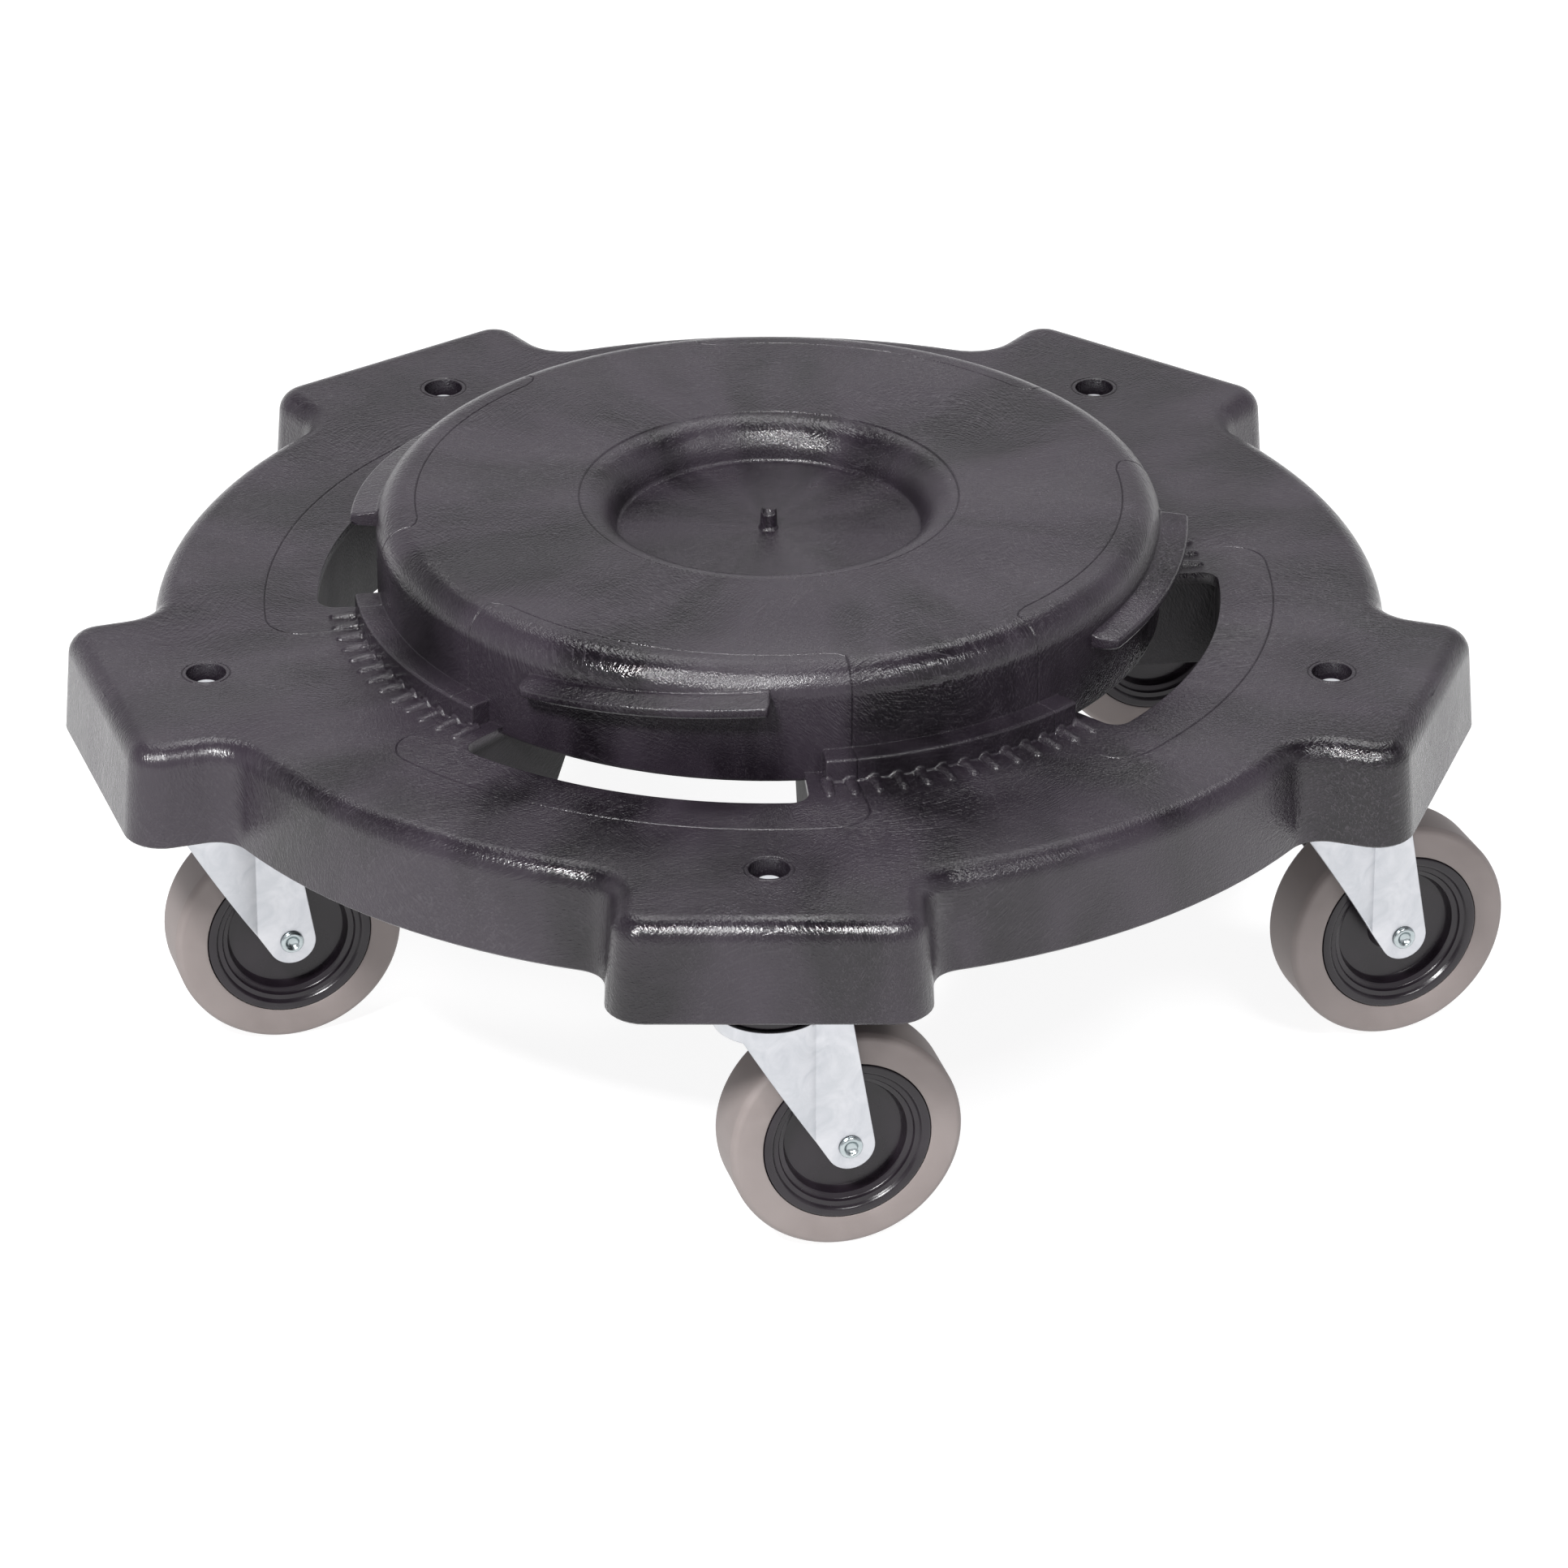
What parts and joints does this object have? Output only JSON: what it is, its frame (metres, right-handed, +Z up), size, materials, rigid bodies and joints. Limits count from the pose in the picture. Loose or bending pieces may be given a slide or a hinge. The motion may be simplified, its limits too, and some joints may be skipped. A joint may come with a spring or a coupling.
{
  "type": "container dolly",
  "caption": "Round moulded plastic dolly with a raised disc and twist-lock slots, rolling on swivel casters set under lobes of its rim.",
  "frame": {"origin": "on the floor, at the middle of the footprint's bounding box", "axes": "+Z up out of the deck's flat top, +X to the right and +Y away as the dolly is first seen, with one lobe pointing along -Y"},
  "size_m": [0.4749, 0.4425, 0.1696],
  "materials": {
    "deck_plastic": "moulded, fine swirled scratches",
    "hub_plastic": "moulded satin",
    "tyre_rubber": "smooth moulded, non-marking",
    "zinc": "bright zinc plate",
    "bearing_steel": "polished",
    "nylon": "smooth"
  },
  "bodies": {
    "deck": {"deck": "deck_plastic", "front_stem": "zinc", "front_grip_ring": "bearing_steel", "front_bearing_cap": "hub_plastic", "right_stem": "zinc", "right_grip_ring": "bearing_steel", "right_bearing_cap": "hub_plastic", "back_right_stem": "zinc", "back_right_grip_ring": "bearing_steel", "back_right_bearing_cap": "hub_plastic", "back_left_stem": "zinc", "back_left_grip_ring": "bearing_steel", "back_left_bearing_cap": "hub_plastic", "left_stem": "zinc", "left_grip_ring": "bearing_steel", "left_bearing_cap": "hub_plastic"},
    "front_swivel": {"front_fork": "zinc", "front_axle": "zinc", "front_sleeve": "nylon", "front_ball_ring": "bearing_steel", "front_kingpin_washer": "zinc"},
    "front_wheel": {"front_hub": "hub_plastic", "front_tyre": "tyre_rubber"},
    "right_swivel": {"right_fork": "zinc", "right_axle": "zinc", "right_sleeve": "nylon", "right_ball_ring": "bearing_steel", "right_kingpin_washer": "zinc"},
    "right_wheel": {"right_hub": "hub_plastic", "right_tyre": "tyre_rubber"},
    "back_right_swivel": {"back_right_fork": "zinc", "back_right_axle": "zinc", "back_right_sleeve": "nylon", "back_right_ball_ring": "bearing_steel", "back_right_kingpin_washer": "zinc"},
    "back_right_wheel": {"back_right_hub": "hub_plastic", "back_right_tyre": "tyre_rubber"},
    "back_left_swivel": {"back_left_fork": "zinc", "back_left_axle": "zinc", "back_left_sleeve": "nylon", "back_left_ball_ring": "bearing_steel", "back_left_kingpin_washer": "zinc"},
    "back_left_wheel": {"back_left_hub": "hub_plastic", "back_left_tyre": "tyre_rubber"},
    "left_swivel": {"left_fork": "zinc", "left_axle": "zinc", "left_sleeve": "nylon", "left_ball_ring": "bearing_steel", "left_kingpin_washer": "zinc"},
    "left_wheel": {"left_hub": "hub_plastic", "left_tyre": "tyre_rubber"}
  },
  "joints": [
    {"name": "front_caster_swivel", "type": "hinge", "parent": "deck", "child": "front_swivel", "pos_m": [-0.0057, -0.183, 0.0853], "axis": [0, 0, 1], "continuous": true},
    {"name": "front_wheel_roll", "type": "hinge", "parent": "front_swivel", "child": "front_wheel", "pos_m": [0.01617, -0.17693, 0.0381], "axis": [-0.2672, 0.9636, 0], "continuous": true},
    {"name": "right_caster_swivel", "type": "hinge", "parent": "deck", "child": "right_swivel", "pos_m": [0.17738, -0.04999, 0.0853], "axis": [0, 0, 1], "continuous": true},
    {"name": "right_wheel_roll", "type": "hinge", "parent": "right_swivel", "child": "right_wheel", "pos_m": [0.19861, -0.04196, 0.0381], "axis": [-0.3535, 0.9354, 0], "continuous": true},
    {"name": "back_right_caster_swivel", "type": "hinge", "parent": "deck", "child": "back_right_swivel", "pos_m": [0.10745, 0.16524, 0.0853], "axis": [0, 0, 1], "continuous": true},
    {"name": "back_right_wheel_roll", "type": "hinge", "parent": "back_right_swivel", "child": "back_right_wheel", "pos_m": [0.12904, 0.17225, 0.0381], "axis": [-0.309, 0.9511, 0], "continuous": true},
    {"name": "back_left_caster_swivel", "type": "hinge", "parent": "deck", "child": "back_left_swivel", "pos_m": [-0.11885, 0.16524, 0.0853], "axis": [0, 0, 1], "continuous": true},
    {"name": "back_left_wheel_roll", "type": "hinge", "parent": "back_left_swivel", "child": "back_left_wheel", "pos_m": [-0.09726, 0.17225, 0.0381], "axis": [-0.309, 0.9511, 0], "continuous": true},
    {"name": "left_caster_swivel", "type": "hinge", "parent": "deck", "child": "left_swivel", "pos_m": [-0.18878, -0.04999, 0.0853], "axis": [0, 0, 1], "continuous": true},
    {"name": "left_wheel_roll", "type": "hinge", "parent": "left_swivel", "child": "left_wheel", "pos_m": [-0.16695, -0.04377, 0.0381], "axis": [-0.274, 0.9617, 0], "continuous": true}
  ]
}
